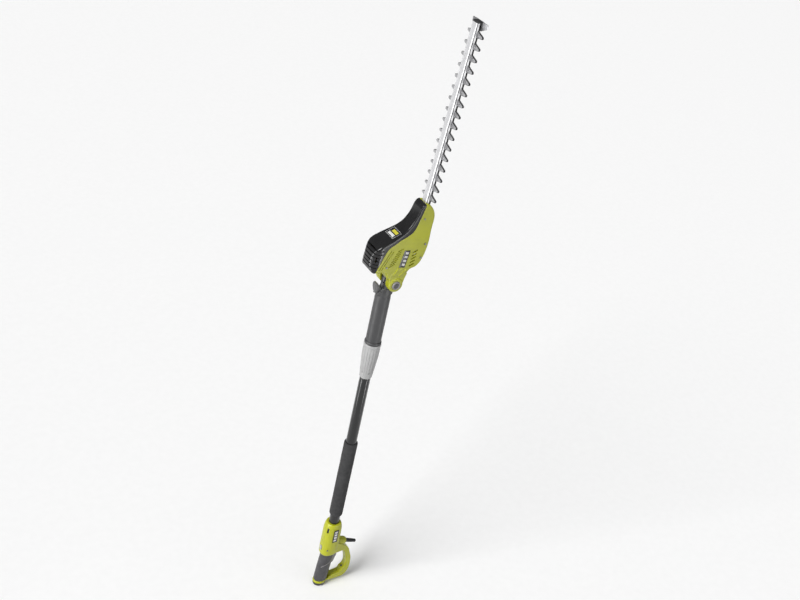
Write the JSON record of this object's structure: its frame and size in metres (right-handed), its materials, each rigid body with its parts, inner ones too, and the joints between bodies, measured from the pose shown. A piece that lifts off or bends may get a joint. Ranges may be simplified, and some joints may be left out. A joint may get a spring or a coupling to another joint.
{
  "type": "pole hedge trimmer",
  "caption": "Telescoping pole hedge trimmer with a tilting motor head, double-sided reciprocating blades, foam grip and a guarded rear handle with trigger.",
  "frame": {"origin": "on the pole axis, in the middle of the rear hand grip", "axes": "+Z along the pole towards the blade, +X to the underside where the trigger and hand guard are, -X to the motor cover side"},
  "size_m": [0.1731, 0.073, 1.7174],
  "materials": {
    "green_plastic": "moulded lime green, satin",
    "black_plastic": "moulded black, semi gloss",
    "grey_plastic": "moulded dark grey, fine texture",
    "pale_plastic": "moulded light grey",
    "grip_rubber": "overmoulded soft grip",
    "foam": "closed-cell foam",
    "black_tube": "gloss black enamel",
    "blade_steel": "ground steel",
    "rail_alloy": "satin aluminium",
    "dark_steel": "blackened steel",
    "copper_core": "wound core",
    "brass": "brass",
    "label": "printed foil"
  },
  "bodies": {
    "lower_pole": {"handle_shell_near": "green_plastic", "handle_shell_far": "green_plastic", "grip_rubber": "grip_rubber", "grip_end_cap": "black_plastic", "trigger_pin": "dark_steel", "trigger_spring": "dark_steel", "lock_spring": "dark_steel", "switch_body": "black_plastic", "terminal_block": "pale_plastic", "cord_clamp": "black_plastic", "indicator_lens": "black_plastic", "handle_badge": "black_plastic", "tube_clamp": "dark_steel", "cord_guard": "grip_rubber", "handle_screw_1": "dark_steel", "handle_screw_2": "dark_steel", "handle_screw_3": "dark_steel", "outer_tube": "black_tube", "foam_grip": "foam", "collet": "black_plastic"},
    "trigger": {"trigger": "grey_plastic"},
    "lock_off_button": {"lock_off_button": "grey_plastic"},
    "clamp_collar": {"clamp_collar": "pale_plastic"},
    "upper_pole": {"inner_tube": "rail_alloy", "inner_tube_plug": "black_plastic", "sleeve_ring": "grey_plastic", "head_sleeve": "grey_plastic", "yoke": "grey_plastic", "lever_pin": "dark_steel", "lever_spring": "dark_steel"},
    "angle_lever": {"angle_lever": "grey_plastic"},
    "head": {"case_near": "green_plastic", "case_far": "green_plastic", "motor_cover": "black_plastic", "cover_label": "label", "case_badge": "black_plastic", "case_screw_1": "dark_steel", "case_screw_2": "dark_steel", "case_screw_3": "dark_steel", "case_screw_4": "dark_steel", "pivot_bolt": "dark_steel", "index_disc": "dark_steel", "pivot_cap_near": "pale_plastic", "pivot_cap_far": "pale_plastic", "motor_stator": "dark_steel", "rear_bearing": "rail_alloy", "front_bearing": "rail_alloy", "brush_holder_near": "brass", "brush_holder_far": "brass", "gear_plate": "dark_steel", "blade_rail": "rail_alloy", "tip_guard": "blade_steel", "tip_cap": "black_plastic"},
    "rotor": {"rotor": "copper_core", "fan": "black_plastic", "pinion": "dark_steel"},
    "drive_gear": {"drive_gear": "dark_steel"},
    "blade_upper": {"blade_upper": "blade_steel"},
    "blade_lower": {"blade_lower": "blade_steel"}
  },
  "joints": [
    {"name": "pole_extend", "type": "slide", "parent": "lower_pole", "child": "upper_pole", "axis": [0, 0, 1], "range_m": [0, 0.45]},
    {"name": "collar_twist", "type": "hinge", "parent": "lower_pole", "child": "clamp_collar", "pos_m": [0, 0, 0.745], "axis": [0, 0, 1], "range_deg": [0, 90]},
    {"name": "head_tilt", "type": "hinge", "parent": "upper_pole", "child": "head", "pos_m": [0.008, 0, 0.989], "axis": [0, 1, 0], "range_deg": [0, 90]},
    {"name": "angle_release", "type": "hinge", "parent": "upper_pole", "child": "angle_lever", "pos_m": [-0.017, 0, 0.952], "axis": [0, -1, 0], "range_deg": [0, 12], "stiffness_Nm_per_rad": 0.3, "springref_deg": -17.19, "deforming": ["lever_spring"]},
    {"name": "rotor_spin", "type": "hinge", "parent": "head", "child": "rotor", "pos_m": [0.01239, 0, 1.06087], "axis": [0.9981, 0, -0.061], "continuous": true},
    {"name": "gear_spin", "type": "hinge", "parent": "head", "child": "drive_gear", "pos_m": [0.01425, 0, 1.09113], "axis": [0.9981, 0, -0.061], "continuous": true},
    {"name": "blade_upper_stroke", "type": "slide", "parent": "head", "child": "blade_upper", "axis": [0.061, 0, 0.9981], "range_m": [-0.007, 0.007]},
    {"name": "blade_lower_stroke", "type": "slide", "parent": "head", "child": "blade_lower", "axis": [0.061, 0, 0.9981], "range_m": [-0.007, 0.007]},
    {"name": "trigger_pull", "type": "hinge", "parent": "lower_pole", "child": "trigger", "pos_m": [0.0125, 0, 0.049], "axis": [0, 1, 0], "range_deg": [0, 7], "stiffness_Nm_per_rad": 0.25, "springref_deg": -17.19, "deforming": ["trigger_spring"]},
    {"name": "lock_off_press", "type": "slide", "parent": "lower_pole", "child": "lock_off_button", "axis": [1, 0, 0], "range_m": [0, 0.003], "stiffness_N_per_m": 200, "springref_m": -0.01, "deforming": ["lock_spring"]}
  ],
  "couplings": [
    {"joint": "gear_spin", "follows": "rotor_spin", "ratio": -0.16667},
    {"joint": "blade_lower_stroke", "follows": "blade_upper_stroke", "ratio": -1}
  ]
}
